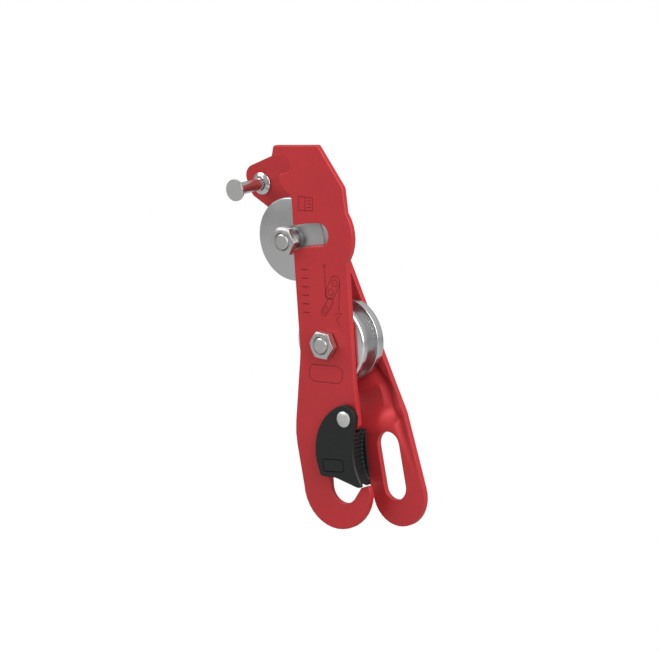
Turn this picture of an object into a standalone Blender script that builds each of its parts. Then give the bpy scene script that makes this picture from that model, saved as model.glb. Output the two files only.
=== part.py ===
"""Single-rope bobbin descender, shown with its mobile side plate swung part of the way open.

Frame: the origin is on the pivot bolt, at the outer face of the bolt's head. +Y points to the back,
+Z from the pivot bolt to the upper bolt, +X to the right as seen from the front (from -Y).
The mobile side plate and the gate are drawn in the closed position, under two empties that lie on
their joint axes; the first empty swings the plate to its stored angle.
"""
import math

import bmesh
import bpy
from mathutils import Vector

MM = 0.001

# ---- overall sizes
BOLT_SPACING = 55.0 * MM        # pivot bolt to upper bolt
BOBBIN_R = 21.0 * MM            # outer radius of both bobbins
BOBBIN_LENGTH = 16.2 * MM       # space that the bobbins keep between the side plates
PLATE_T = 3.0 * MM              # both side plates
NECK_RIGHT = 16.6 * MM          # mobile plate's right edge, beside the bobbins
NECK_LEFT = 17.0 * MM           # mobile plate's left edge
FIXED_HALF = 14.9 * MM          # fixed plate's half width there
HEAD_RISE = 44.9 * MM           # upper bolt to the mobile plate's top right corner
HEAD_FALL = 1.4 * MM            # its top edge drops this much to the left
FIXED_HEAD_RISE = 43.9 * MM     # upper bolt to the fixed plate's top edge
OPEN_ANGLE = math.radians(21.5)  # mobile plate's stored swing from closed

# ---- clearances
GAP = 0.3 * MM                  # between pieces that touch or run on each other
PLATE_PLAY = 0.3 * MM           # mobile plate's play under the nuts

# ---- fasteners
BOLT_R = 4.0 * MM
HEX_ACROSS_FLATS = 13.0 * MM
BOLT_HEAD_H = 5.3 * MM
NUT_H = 4.0 * MM
BOLT_STICK_OUT = 0.9 * MM       # bolt end in front of the nut
SLEEVE_R = 5.5 * MM             # spacer in the notch, and bushing in the pivot hole
UPPER_NUT_TURN = math.radians(6.0)

# ---- bobbins
REAR_RIM = 4.5 * MM
FRONT_RIM = 3.5 * MM
GROOVE_DEPTH = 7.0 * MM
RIM_CHAMFER = 0.5 * MM
LOWER_FRONT_CHAMFER = 0.9 * MM
DOWEL_R = 2.0 * MM              # pins that keep the bobbins from turning
DOWEL_OFFSET = 10.0 * MM
DOWEL_DEPTH = 5.0 * MM          # into the bobbin

# ---- plates' head and friction spur
HEAD_CORNER_RISE = 24.1 * MM    # upper bolt to the corner under the slanted right edge
HEAD_TOP_RIGHT = 2.6 * MM
SPUR_OUT = 19.7 * MM            # spur's axis, left of the bolt line
SPUR_RISE = 33.4 * MM           # spur's axis above the upper bolt
SPUR_R = 3.0 * MM
SPUR_HEAD_R = 5.5 * MM
SPUR_HEAD_T = 1.5 * MM
SPUR_PROUD = 2.0 * MM           # spur head's front face before the mobile plate
COLLAR_R = 5.7 * MM
COLLAR_T = 1.6 * MM
SPUR_WASHER_T = 1.0 * MM
SPUR_LOBE = 8.5 * MM            # fixed plate's left edge beyond the spur's axis
SPUR_LOBE_DROP = 3.4 * MM       # and how far under the axis the lobe's corner lies
LOBE_FOOT_RISE = 13.1 * MM      # upper bolt to the foot of the lobe's slanted edge
NOTCH_SHIFT = 1.0 * MM          # spur notch's mid radius beyond the spur's axis
SPUR_NOTCH_HALF = 4.35 * MM
NOTCH_LIP_X = 23.0 * MM         # mobile plate's lip under the spur notch
MOBILE_HEAD_LEFT = 27.4 * MM    # mobile plate's left edge over the spur notch

# ---- fixed plate's tail
TAIL_BEHIND = 10.0 * MM         # tail's front face behind the mobile plate's front face
JOGGLE_DROP = 5.0 * MM          # below the lower bobbin, where the bend starts
JOGGLE_LENGTH = 20.0 * MM
FLARE_X = 23.4 * MM             # right edge at the foot of the bend
TUCK_X = 10.0 * MM              # left edge at the foot of the bend
TAIL_LEAN = math.radians(7.2)   # both edges of the tail lean to the right, going up
TAIL_X = 1.8 * MM
SLOT_WIDTH = 13.6 * MM
SLOT_LENGTH = 34.6 * MM         # end to end
SLOT_TILT = math.radians(14.4)
SLOT_DROP = 29.9 * MM           # below the lower bobbin, to the slot's upper end
SLOT_TOP_X = 8.2 * MM
TAIL_WALL = 9.4 * MM            # beside the slot's lower end
TAIL_FOOT = 4.2 * MM            # tail's round centre below the slot's lower centre
PRESS_DEPTH = 2.1 * MM          # stiffening groove pressed towards the back
PRESS_HALF = 1.3 * MM           # its floor's half width
PRESS_RUN = 2.4 * MM            # its slanted wall's width
PRESS_TOP_X = 6.4 * MM
PRESS_FOOT_X = 17.4 * MM

# ---- mobile plate's hook
HOOK_X = 0.9 * MM
HOOK_Z = -72.2 * MM
HOOK_R = 21.3 * MM
THROAT_X = 5.2 * MM
THROAT_Z = -71.8 * MM
THROAT_R = 8.4 * MM
THROAT_TOP = -44.0 * MM
NOSE_TOP = -71.0 * MM
NOSE_LEAN = math.radians(54.8)
SHOULDER_Z = -40.2 * MM
SHOULDER_X = 17.2 * MM
BELLY_X = 23.8 * MM             # mobile plate's widest place on the left
BELLY_Z = -46.0 * MM

# ---- gate
RIVET_X = 10.8 * MM
RIVET_Z = -36.6 * MM
GATE_BOSS_WALL = 1.1 * MM       # boss round the spring's pocket
GATE_BACK_X = 17.2 * MM         # centre of the gate's round back edge
GATE_BACK_Z = -54.5 * MM
GATE_PROUD = 3.5 * MM           # front cheek before the mobile plate's front face
GATE_BEHIND = 7.0 * MM          # rear cheek's back behind the mobile plate's front face
GATE_TIP_X = 19.3 * MM
GATE_WAIST_X = 14.9 * MM        # thumb side of the front cheek
GATE_REAR_X = 16.5 * MM         # thumb side of the rear cheek
GATE_REAR_HOLLOW = 0.2          # the rear cheek's hollow and tip, as a share of the front cheek's
FRONT_LIP = 2.1 * MM            # edge of the front cheek beside the thumb recess
REAR_LIP = 0.9 * MM             # edge of the rear cheek there
THUMB_R = 30.0 * MM             # radius of the thumb recess
THUMB_DEPTH = 1.6 * MM
LIP_ROUND = 1.5 * MM            # rounding of the front cheek's edge on the thumb side
THUMB_RIBS = 10
RIB_PITCH = 2.2 * MM
RIB_R = 0.55 * MM
WEB_T = 3.4 * MM                # gate's web behind the thumb recess
GATE_SWING_ROOM = 1.5 * MM      # between the web's head and the throat's upper edge
PIVOT_SLEEVE_R = 2.9 * MM
PIVOT_SLEEVE_BORE = 2.3 * MM
RIVET_R = 2.0 * MM
RIVET_HEAD_R = 4.05 * MM
RIVET_HEAD_T = 1.0 * MM
RIVET_SINK = 0.45 * MM          # depth of the rivet head's seat in the front cheek
RIVET_WASHER_R = 4.6 * MM
RIVET_WASHER_T = 0.6 * MM
RIVET_TAIL_R = 3.3 * MM
RIVET_TAIL_T = 0.9 * MM
SPRING_R = 4.0 * MM
SPRING_WIRE_R = 0.3 * MM
SPRING_TURNS = 2
SPRING_PITCH = 0.68 * MM
SPRING_LEG = 8.0 * MM
SPRING_TANG_R = 5.2 * MM        # where the spring's short end enters the mobile plate
SPRING_TANG_ANGLE = math.radians(100.0)
SPRING_ROOM = 0.4 * MM          # round the spring in its pocket
SPRING_POCKET_T = 2.35 * MM

# ---- mesh fineness
ARC_STEP = math.radians(10.0)
TURN_SIDES = 48

# ---- stack of layers along Y, from the bolt heads forward
Y_HEAD_FRONT = -BOLT_HEAD_H
Y_FIXED_BACK = Y_HEAD_FRONT - GAP
Y_FIXED_FRONT = Y_FIXED_BACK - PLATE_T
Y_BOBBIN_BACK = Y_FIXED_FRONT - GAP
Y_BOBBIN_FRONT = Y_BOBBIN_BACK - BOBBIN_LENGTH
Y_MOBILE_BACK = Y_BOBBIN_FRONT - GAP
Y_MOBILE_FRONT = Y_MOBILE_BACK - PLATE_T
Y_SLEEVE_FRONT = Y_MOBILE_FRONT - PLATE_PLAY
Y_NUT_BACK = Y_SLEEVE_FRONT - GAP
Y_NUT_FRONT = Y_NUT_BACK - NUT_H
Y_BOLT_END = Y_NUT_FRONT - BOLT_STICK_OUT
Y_TAIL_FRONT = Y_MOBILE_FRONT + TAIL_BEHIND
Y_GATE_FRONT = Y_MOBILE_FRONT - GATE_PROUD
Y_GATE_BACK = Y_MOBILE_FRONT + GATE_BEHIND
Y_GATE_SLOT_FRONT = Y_MOBILE_FRONT - GAP
Y_GATE_SLOT_BACK = Y_MOBILE_BACK + GAP

# ---- places that several pieces share
UPPER = Vector((0.0, BOLT_SPACING))
PIVOT = Vector((0.0, 0.0))
SPUR = Vector((-SPUR_OUT, BOLT_SPACING + SPUR_RISE))
RIVET = Vector((RIVET_X, RIVET_Z))
HEAD_TOP = BOLT_SPACING + HEAD_RISE
FIXED_TOP = BOLT_SPACING + FIXED_HEAD_RISE
BULGE_R = BOBBIN_R + 0.2 * MM
SLOT_R = SLOT_WIDTH / 2
SLOT_DIRECTION = Vector((-math.sin(SLOT_TILT), -math.cos(SLOT_TILT)))
SLOT_TOP = Vector((SLOT_TOP_X, -BOBBIN_R - SLOT_DROP)) + SLOT_DIRECTION * SLOT_R
SLOT_FOOT = SLOT_TOP + SLOT_DIRECTION * (SLOT_LENGTH - SLOT_WIDTH)
JOGGLE_TOP = -BOBBIN_R - JOGGLE_DROP
JOGGLE_FOOT = JOGGLE_TOP - JOGGLE_LENGTH
PRESS_TOP = Vector((PRESS_TOP_X, JOGGLE_TOP + 9.0 * MM))
PRESS_FOOT = Vector((PRESS_FOOT_X, JOGGLE_FOOT - 0.8 * MM))
UPPER_DOWEL = UPPER + Vector((0.0, DOWEL_OFFSET))
LOWER_DOWEL = PIVOT + Vector((0.0, -DOWEL_OFFSET))
SPRING_POCKET_R = SPRING_TANG_R + SPRING_WIRE_R + SPRING_ROOM
GATE_BOSS_R = SPRING_POCKET_R + GATE_BOSS_WALL
SPRING_TANG = RIVET + SPRING_TANG_R * Vector((math.cos(SPRING_TANG_ANGLE), math.sin(SPRING_TANG_ANGLE)))


# ---------------------------------------------------------------- outlines, in the XZ plane

def arc(centre, radius, start, end):
    """Points of an arc, angles in radians from +X towards +Z."""
    steps = max(2, math.ceil(abs(end - start) / ARC_STEP))
    points = []
    for i in range(steps + 1):
        angle = start + (end - start) * i / steps
        points.append((centre[0] + radius * math.cos(angle), centre[1] + radius * math.sin(angle), 0.0))
    return points


def rounded(corners):
    """Outline of (x, z, fillet radius) corners; each fillet becomes an arc that its edges can hold."""
    outline = []
    for i, (x, z, radius) in enumerate(corners):
        here = Vector((x, z))
        if radius == 0.0:
            outline.append(here)
            continue
        to_last = Vector(corners[i - 1][:2]) - here
        to_next = Vector(corners[(i + 1) % len(corners)][:2]) - here
        half = to_last.angle(to_next) / 2
        run = min(radius / math.tan(half), 0.49 * to_last.length, 0.49 * to_next.length)
        radius = run * math.tan(half)
        centre = here + (to_last.normalized() + to_next.normalized()).normalized() * radius / math.sin(half)
        first = here + to_last.normalized() * run - centre
        last = here + to_next.normalized() * run - centre
        start = math.atan2(first.y, first.x)
        sweep = (math.atan2(last.y, last.x) - start + math.pi) % (2 * math.pi) - math.pi
        outline += [Vector(point[:2]) for point in arc(centre, radius, start, start + sweep)]
    return outline


def circle(centre, radius, sides=TURN_SIDES // 2):
    return [Vector((centre[0] + radius * math.cos(2 * math.pi * i / sides),
                    centre[1] + radius * math.sin(2 * math.pi * i / sides))) for i in range(sides)]


def capsule(top, foot, radius):
    """Round-ended slot outline between two centres."""
    along = foot - top
    side = math.atan2(along.y, along.x)
    points = arc(foot, radius, side - math.pi / 2, side + math.pi / 2)
    points += arc(top, radius, side + math.pi / 2, side + 3 * math.pi / 2)
    return [Vector(point[:2]) for point in points]


def hexagon(centre, across_flats, turn=0.0):
    corner_r = across_flats / math.sqrt(3)
    return [Vector((centre[0] + corner_r * math.cos(math.pi / 2 + turn + math.pi / 3 * i),
                    centre[1] + corner_r * math.sin(math.pi / 2 + turn + math.pi / 3 * i))) for i in range(6)]


# ---------------------------------------------------------------- solids

def material(name, colour, roughness, metallic):
    mat = bpy.data.materials.new(name)
    mat.use_nodes = True
    shader = mat.node_tree.nodes["Principled BSDF"]
    shader.inputs["Base Color"].default_value = (*colour, 1.0)
    shader.inputs["Roughness"].default_value = roughness
    shader.inputs["Metallic"].default_value = metallic
    return mat


def add_object(name, bm, look, parent=None):
    """Closes up a bmesh into an object whose origin is its parent empty, or the part's origin."""
    bmesh.ops.recalc_face_normals(bm, faces=bm.faces)
    if parent:
        bmesh.ops.translate(bm, verts=bm.verts, vec=-JOINT_PLACES[parent.name])
    mesh = bpy.data.meshes.new(name)
    bm.to_mesh(mesh)
    bm.free()
    mesh.shade_smooth()
    mesh.set_sharp_from_angle(angle=math.radians(30))
    obj = bpy.data.objects.new(name, mesh)
    bpy.context.collection.objects.link(obj)
    obj.parent = parent
    if look:
        mesh.materials.append(look)
    return obj


def ring_edges(bm, outline, y):
    verts = [bm.verts.new((point.x, y, point.y)) for point in outline]
    return [bm.edges.new((verts[i], verts[i - 1])) for i in range(len(verts))]


def slab(outline, y_front, y_back, holes=(), press=None):
    """Flat piece between two Y levels. press adds a rim loop and a floor loop for a pressed groove."""
    bm = bmesh.new()
    outer = ring_edges(bm, outline, y_front)
    for hole in holes:
        outer += ring_edges(bm, hole, y_front)
    regions = [outer]
    if press:
        rim = ring_edges(bm, press[0], y_front)
        floor = ring_edges(bm, press[1], y_front)
        regions = [outer + rim, rim + floor, floor]
    faces = []
    for edges in regions:
        filled = bmesh.ops.triangle_fill(bm, edges=edges, use_beauty=True, normal=(0.0, -1.0, 0.0))
        faces += [item for item in filled["geom"] if isinstance(item, bmesh.types.BMFace)]
    grown = bmesh.ops.extrude_face_region(bm, geom=faces, use_keep_orig=True)
    moved = [item for item in grown["geom"] if isinstance(item, bmesh.types.BMVert)]
    bmesh.ops.translate(bm, verts=moved, vec=(0.0, y_back - y_front, 0.0))
    bmesh.ops.recalc_face_normals(bm, faces=bm.faces)
    return bm


def turned(profile, centre, sides=TURN_SIDES):
    """Spins a closed (radius, y) profile about an axis along Y; radius 0 closes a solid."""
    bm = bmesh.new()
    verts = [bm.verts.new((radius, y, 0.0)) for radius, y in profile]
    edges = [bm.edges.new((verts[i], verts[i - 1])) for i in range(len(verts))]
    bmesh.ops.spin(bm, geom=verts + edges, cent=(0.0, 0.0, 0.0), axis=(0.0, 1.0, 0.0),
                   angle=2 * math.pi, steps=sides, use_merge=True)
    bmesh.ops.remove_doubles(bm, verts=bm.verts, dist=0.001 * MM)
    bmesh.ops.dissolve_degenerate(bm, edges=bm.edges, dist=0.001 * MM)
    bmesh.ops.delete(bm, geom=[face for face in bm.faces if face.calc_area() < 1e-12], context="FACES_ONLY")
    bmesh.ops.delete(bm, geom=[edge for edge in bm.edges if not edge.link_faces], context="EDGES")
    bmesh.ops.translate(bm, verts=bm.verts, vec=(centre[0], 0.0, centre[1]))
    return bm


def tube(centre, outer, inner, y_front, y_back, chamfer):
    """Plain sleeve or washer with chamfered outer edges."""
    profile = [(inner, y_front), (outer - chamfer, y_front), (outer, y_front + chamfer),
               (outer, y_back - chamfer), (outer - chamfer, y_back), (inner, y_back)]
    return turned(profile, centre, TURN_SIDES // 2 + 8)


def rod(centre, radius, y_front, y_back, chamfer=0.0, sides=TURN_SIDES // 2):
    profile = [(0.0, y_front), (radius - chamfer, y_front), (radius, y_front + chamfer),
               (radius, y_back - chamfer), (radius - chamfer, y_back), (0.0, y_back)]
    if chamfer == 0.0:
        profile = [(0.0, y_front), (radius, y_front), (radius, y_back), (0.0, y_back)]
    return turned(profile, centre, sides)


def shape_with(obj, name, bm, operation):
    """Adds or cuts a helper solid with an exact Boolean; the helper itself is hidden."""
    helper = add_object(name, bm, None, obj.parent)
    helper.hide_render = True
    helper.display_type = "WIRE"
    boolean = obj.modifiers.new(name, "BOOLEAN")
    boolean.operation = operation
    boolean.solver = "EXACT"
    boolean.object = helper
    return obj


def empty(name, place, parent=None):
    """Joint axis. place is the axis in the closed frame."""
    joint = bpy.data.objects.new(name, None)
    bpy.context.collection.objects.link(joint)
    joint.empty_display_size = 0.01
    joint.parent = parent
    joint.location = place - (JOINT_PLACES[parent.name] if parent else Vector((0.0, 0.0, 0.0)))
    JOINT_PLACES[name] = place
    return joint


# ---------------------------------------------------------------- side plates

def head_right_side(top, neck):
    """Right edge that both plates share, from the top down to the neck."""
    bulge = math.radians(33.0)
    return [(HEAD_TOP_RIGHT, top, 1.5 * MM),
            (BULGE_R - 4.2 * MM, BOLT_SPACING + HEAD_CORNER_RISE, 4.0 * MM),
            *arc(UPPER, BULGE_R, bulge, -bulge),
            (neck, BOLT_SPACING - BULGE_R * math.sin(bulge) - 1.4 * MM, 1.0 * MM)]


def bend_share(z):
    """0 above the bend, 1 below it, with a smooth run between."""
    share = min(1.0, max(0.0, (JOGGLE_TOP - z) / JOGGLE_LENGTH))
    return share * share * (3.0 - 2.0 * share)


def bend_edge(upper_x, lower_x, steps=6):
    """Plate edge that moves sideways as the plate bends forward, from the top down."""
    edge = []
    for i in range(steps + 1):
        z = JOGGLE_TOP - JOGGLE_LENGTH * i / steps
        edge.append((upper_x + (lower_x - upper_x) * bend_share(z), z, 0.0))
    return edge


def press_shift(point):
    """Depth of the pressed groove at a point of the plate."""
    along = PRESS_FOOT - PRESS_TOP
    share = min(1.0, max(0.0, (point - PRESS_TOP).dot(along) / along.length_squared))
    distance = (point - PRESS_TOP - along * share).length
    return PRESS_DEPTH * min(1.0, max(0.0, (PRESS_HALF + PRESS_RUN - distance) / PRESS_RUN))


def fixed_side_plate(look):
    """Rear plate: bolt and dowel holes, spur hole, joggled tail with the attachment slot."""
    tail_centre = Vector((TAIL_X, SLOT_FOOT.y - TAIL_FOOT))
    lobe_left = -SPUR_OUT - SPUR_LOBE
    outline = rounded([
        *head_right_side(FIXED_TOP, FIXED_HALF),
        *bend_edge(FIXED_HALF, FLARE_X),
        *arc(tail_centre, SLOT_R + TAIL_WALL, -TAIL_LEAN, -TAIL_LEAN - math.pi),
        *reversed(bend_edge(-FIXED_HALF, -TUCK_X)),
        (-FIXED_HALF, BOLT_SPACING + LOBE_FOOT_RISE, 3.0 * MM),
        (lobe_left, SPUR.y - SPUR_LOBE_DROP, 4.0 * MM),
        (lobe_left, FIXED_TOP, 6.0 * MM)])
    holes = [circle(PIVOT, BOLT_R + GAP), circle(UPPER, BOLT_R + GAP),
             circle(UPPER_DOWEL, DOWEL_R + GAP), circle(LOWER_DOWEL, DOWEL_R + GAP),
             circle(SPUR, SPUR_R + GAP), capsule(SLOT_TOP, SLOT_FOOT, SLOT_R)]
    press = (capsule(PRESS_TOP, PRESS_FOOT, PRESS_HALF + PRESS_RUN), capsule(PRESS_TOP, PRESS_FOOT, PRESS_HALF))
    bm = slab(outline, Y_FIXED_FRONT, Y_FIXED_BACK, holes, press)
    bends = 6
    for i in range(bends + 1):
        height = JOGGLE_TOP - JOGGLE_LENGTH * i / bends
        bmesh.ops.bisect_plane(bm, geom=bm.verts[:] + bm.edges[:] + bm.faces[:],
                               plane_co=(0.0, 0.0, height), plane_no=(0.0, 0.0, 1.0))
    for vert in bm.verts:
        vert.co.y += (Y_TAIL_FRONT - Y_FIXED_FRONT) * bend_share(vert.co.z)
        vert.co.y += press_shift(Vector((vert.co.x, vert.co.z)))
    bmesh.ops.triangulate(bm, faces=bm.faces)
    return add_object("fixed_side_plate", bm, look)


def mobile_side_plate(look, swing):
    """Front plate: notches that pass the spur and the upper bolt's spacer, and the hook with its throat."""
    notch_half = SLEEVE_R + GAP
    low, high = BOLT_SPACING - notch_half, BOLT_SPACING + notch_half
    spur_r = SPUR.length + NOTCH_SHIFT
    spur_angle = math.atan2(SPUR.y, SPUR.x)
    spur_low, spur_high = spur_r - SPUR_NOTCH_HALF, spur_r + SPUR_NOTCH_HALF
    spur_seat = spur_r * Vector((math.cos(spur_angle), math.sin(spur_angle)))
    upright = math.pi / 2
    mouth_lip = math.pi - math.acos(NECK_LEFT / low)
    mouth_top = math.pi - math.acos((NECK_LEFT - 0.8 * MM) / high)
    lip_low = math.pi - math.acos(NOTCH_LIP_X / spur_low)
    lip_high = math.pi - math.acos(MOBILE_HEAD_LEFT / spur_high)
    nose_angle = NOSE_LEAN - upright
    nose_foot = Vector((THROAT_X, THROAT_Z)) + THROAT_R * Vector((math.cos(nose_angle), math.sin(nose_angle)))
    nose_x = nose_foot.x + (NOSE_TOP - nose_foot.y) / math.tan(NOSE_LEAN)
    throat_left = THROAT_X - THROAT_R
    outline = rounded([
        *head_right_side(HEAD_TOP, NECK_RIGHT),
        (NECK_RIGHT - 0.6 * MM, -BOBBIN_R + 4.0 * MM, 20.0 * MM),
        (SHOULDER_X, SHOULDER_Z, 1.2 * MM),
        (RIVET_X + 3.0 * MM, THROAT_TOP + 0.8 * MM, 2.0 * MM),
        (throat_left, THROAT_TOP, 5.0 * MM),
        *arc((THROAT_X, THROAT_Z), THROAT_R, math.pi, 2 * math.pi + nose_angle),
        (nose_x, NOSE_TOP - 0.6 * MM, 1.2 * MM),
        (HOOK_X + HOOK_R - 1.2 * MM, NOSE_TOP + 0.9 * MM, 1.6 * MM),
        *arc((HOOK_X, HOOK_Z), HOOK_R, math.radians(-8.0), math.radians(-180.0)),
        (-BELLY_X, BELLY_Z, 40.0 * MM),
        (-NECK_LEFT, -5.0 * MM, 40.0 * MM),
        (low * math.cos(mouth_lip), low * math.sin(mouth_lip), 2.5 * MM),
        *arc(PIVOT, low, mouth_lip - math.radians(5.0), upright),
        *arc(UPPER, notch_half, -upright + ARC_STEP, upright - ARC_STEP),
        *arc(PIVOT, high, upright, mouth_top - math.radians(2.0)),
        (high * math.cos(mouth_top), high * math.sin(mouth_top), 1.2 * MM),
        (-NECK_LEFT + 0.9 * MM, SPUR.y - 15.0 * MM, 5.0 * MM),
        (-NOTCH_LIP_X, SPUR.y - 9.4 * MM, 3.0 * MM),
        (spur_low * math.cos(lip_low), spur_low * math.sin(lip_low), 1.2 * MM),
        *arc(PIVOT, spur_low, lip_low - math.radians(1.5), spur_angle),
        *arc(spur_seat, SPUR_NOTCH_HALF, spur_angle - math.pi + ARC_STEP, spur_angle - ARC_STEP),
        *arc(PIVOT, spur_high, spur_angle, lip_high - math.radians(1.5)),
        (spur_high * math.cos(lip_high), spur_high * math.sin(lip_high), 0.8 * MM),
        (-MOBILE_HEAD_LEFT + 2.0 * MM, HEAD_TOP - HEAD_FALL, 0.8 * MM)])
    holes = [circle(PIVOT, SLEEVE_R + GAP), circle(RIVET, PIVOT_SLEEVE_R + GAP),
             circle(SPRING_TANG, SPRING_WIRE_R + GAP, 12)]
    bm = slab(outline, Y_MOBILE_FRONT, Y_MOBILE_BACK, holes)
    return add_object("mobile_side_plate", bm, look, swing)


# ---------------------------------------------------------------- bobbins and their bolts

def bobbin(name, centre, dowel, front_chamfer, look):
    """Bobbin with a rounded rope groove, a bolt bore and a blind dowel hole in its back."""
    front, back = Y_BOBBIN_FRONT, Y_BOBBIN_BACK
    groove_front = front + FRONT_RIM
    groove_back = back - REAR_RIM
    middle = (groove_front + groove_back) / 2
    half = (groove_back - groove_front) / 2
    lip = RIM_CHAMFER / 2
    groove = []
    steps = 10
    for i in range(steps + 1):
        angle = math.pi * i / steps
        groove.append((BOBBIN_R - lip - GROOVE_DEPTH * math.sin(angle), middle - half * math.cos(angle)))
    profile = [(BOLT_R + GAP, front), (BOBBIN_R - front_chamfer, front), (BOBBIN_R, front + front_chamfer),
               (BOBBIN_R, groove_front - lip), *groove, (BOBBIN_R, groove_back + lip),
               (BOBBIN_R, back - RIM_CHAMFER), (BOBBIN_R - RIM_CHAMFER, back), (BOLT_R + GAP, back)]
    piece = add_object(name, turned(profile, centre, TURN_SIDES + 8), look)
    hole = rod(dowel, DOWEL_R + GAP, back - DOWEL_DEPTH - GAP, back + 1.0 * MM)
    return shape_with(piece, name + "_dowel_hole", hole, "DIFFERENCE")


def dowel_pin(name, centre, look):
    pin = rod(centre, DOWEL_R, Y_BOBBIN_BACK - DOWEL_DEPTH, Y_FIXED_BACK - 0.2 * MM, 0.3 * MM)
    return add_object(name, pin, look)


def hex_chamfer(centre, y_face, y_far):
    """Turned shape that rounds off a hexagon's corners at its outer face."""
    corner_r = HEX_ACROSS_FLATS / math.sqrt(3)
    outward = math.copysign(1.0, y_face - y_far)
    flat_r = HEX_ACROSS_FLATS * 0.475
    slope = (corner_r - flat_r + 0.5 * MM) * math.tan(math.radians(30.0))
    profile = [(0.0, y_face), (flat_r, y_face), (corner_r + 0.5 * MM, y_face - outward * slope),
               (corner_r + 0.5 * MM, y_far - outward * MM), (0.0, y_far - outward * MM)]
    return turned(profile, centre)


def hex_bolt(name, centre, turn, look):
    head = slab(hexagon(centre, HEX_ACROSS_FLATS, turn), Y_HEAD_FRONT, 0.0)
    bolt = add_object(name, head, look)
    shape_with(bolt, name + "_chamfer", hex_chamfer(centre, 0.0, Y_HEAD_FRONT), "INTERSECT")
    shank = rod(centre, BOLT_R, Y_BOLT_END, Y_HEAD_FRONT + MM, 0.5 * MM)
    return shape_with(bolt, name + "_shank", shank, "UNION")


def hex_nut(name, centre, turn, look):
    body = slab(hexagon(centre, HEX_ACROSS_FLATS, turn), Y_NUT_FRONT, Y_NUT_BACK, [circle(centre, BOLT_R + GAP)])
    nut = add_object(name, body, look)
    return shape_with(nut, name + "_chamfer", hex_chamfer(centre, Y_NUT_FRONT, Y_NUT_BACK), "INTERSECT")


def spacer(name, centre, look):
    """Sleeve that the nut bears on, so that the mobile plate can turn or slide off beside it."""
    sleeve = tube(centre, SLEEVE_R, BOLT_R + GAP, Y_SLEEVE_FRONT, Y_MOBILE_BACK, 0.2 * MM)
    return add_object(name, sleeve, look)


# ---------------------------------------------------------------- friction spur

def friction_spur(look):
    """Shaft with a flat head in front and a riveted end behind the fixed plate."""
    front = Y_MOBILE_FRONT - SPUR_PROUD
    washer_back = Y_FIXED_BACK + GAP + SPUR_WASHER_T
    profile = [(0.0, front), (SPUR_HEAD_R - 0.3 * MM, front), (SPUR_HEAD_R, front + 0.3 * MM),
               (SPUR_HEAD_R, front + SPUR_HEAD_T - 0.3 * MM), (SPUR_HEAD_R - 0.3 * MM, front + SPUR_HEAD_T),
               (SPUR_R, front + SPUR_HEAD_T), (SPUR_R, washer_back + GAP),
               (SPUR_R + 1.2 * MM, washer_back + GAP), (SPUR_R + 0.6 * MM, washer_back + GAP + 1.0 * MM),
               (0.0, washer_back + GAP + 1.2 * MM)]
    return add_object("friction_spur", turned(profile, SPUR), look)


def spur_collar(look):
    """Bevelled collar at the spur's foot, on the front of the fixed plate."""
    back = Y_FIXED_FRONT - GAP
    profile = [(SPUR_R + GAP, back - COLLAR_T), (COLLAR_R - 1.5 * MM, back - COLLAR_T),
               (COLLAR_R, back - 0.4 * MM), (COLLAR_R, back), (SPUR_R + GAP, back)]
    return add_object("spur_collar", turned(profile, SPUR), look)


def spur_washer(look):
    front = Y_FIXED_BACK + GAP
    washer = tube(SPUR, COLLAR_R, SPUR_R + GAP, front, front + SPUR_WASHER_T, 0.2 * MM)
    return add_object("spur_washer", washer, look)


# ---------------------------------------------------------------- gate

def gate_outline():
    """Cheek outline: a boss round the rivet, tangent to the round back edge, and the hollow thumb side."""
    back_centre = Vector((GATE_BACK_X, GATE_BACK_Z))
    to_rivet = RIVET - back_centre
    back_r = to_rivet.length + GATE_BOSS_R
    join = math.atan2(to_rivet.y, to_rivet.x)
    return rounded([
        *arc(RIVET, GATE_BOSS_R, math.radians(-25.0), join),
        *arc(back_centre, back_r, join + math.radians(4.0), math.radians(200.0)),
        (back_centre.x - back_r * 0.91, NOSE_TOP + 4.7 * MM, 2.0 * MM),
        (3.0 * MM, NOSE_TOP + 4.4 * MM, 4.0 * MM),
        (GATE_TIP_X - 3.0 * MM, NOSE_TOP + 0.2 * MM, 1.0 * MM),
        (GATE_TIP_X, NOSE_TOP + 0.2 * MM, 0.8 * MM),
        (GATE_WAIST_X + 1.2 * MM, GATE_BACK_Z - 5.0 * MM, 12.0 * MM),
        (GATE_WAIST_X - 0.3 * MM, GATE_BACK_Z + 6.0 * MM, 12.0 * MM)])


def gate_plate_slot():
    """Space between the gate's cheeks: all that lies left of the web, above it and round the hook's nose."""
    web_x = GATE_WAIST_X - THUMB_DEPTH - WEB_T
    web_top = THROAT_TOP - GATE_SWING_ROOM
    web_foot = NOSE_TOP + 1.4 * MM
    far = 40.0 * MM
    return rounded([
        (far, web_top + 4.0 * MM, 0.0),
        (GATE_REAR_X + 1.5 * MM, web_top + 4.0 * MM, 0.0),
        (web_x + 0.8 * MM, web_top - 1.5 * MM, 3.0 * MM),
        (web_x + 0.4 * MM, GATE_BACK_Z, 20.0 * MM),
        (web_x + WEB_T - 0.2 * MM, web_foot, 0.0),
        (far, web_foot, 0.0),
        (far, web_foot - far, 0.0),
        (-far, web_foot - far, 0.0),
        (-far, web_top + 2 * far, 0.0),
        (far, web_top + 2 * far, 0.0)])


def flatten_rear(bm):
    """Makes the thumb side of the rear cheek flatter than that of the front cheek."""
    for vert in bm.verts:
        if vert.co.y > Y_MOBILE_BACK and vert.co.x > GATE_WAIST_X - 1.5 * MM and vert.co.z < RIVET_Z:
            vert.co.x = GATE_REAR_X + (vert.co.x - GATE_REAR_X) * GATE_REAR_HOLLOW


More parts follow.
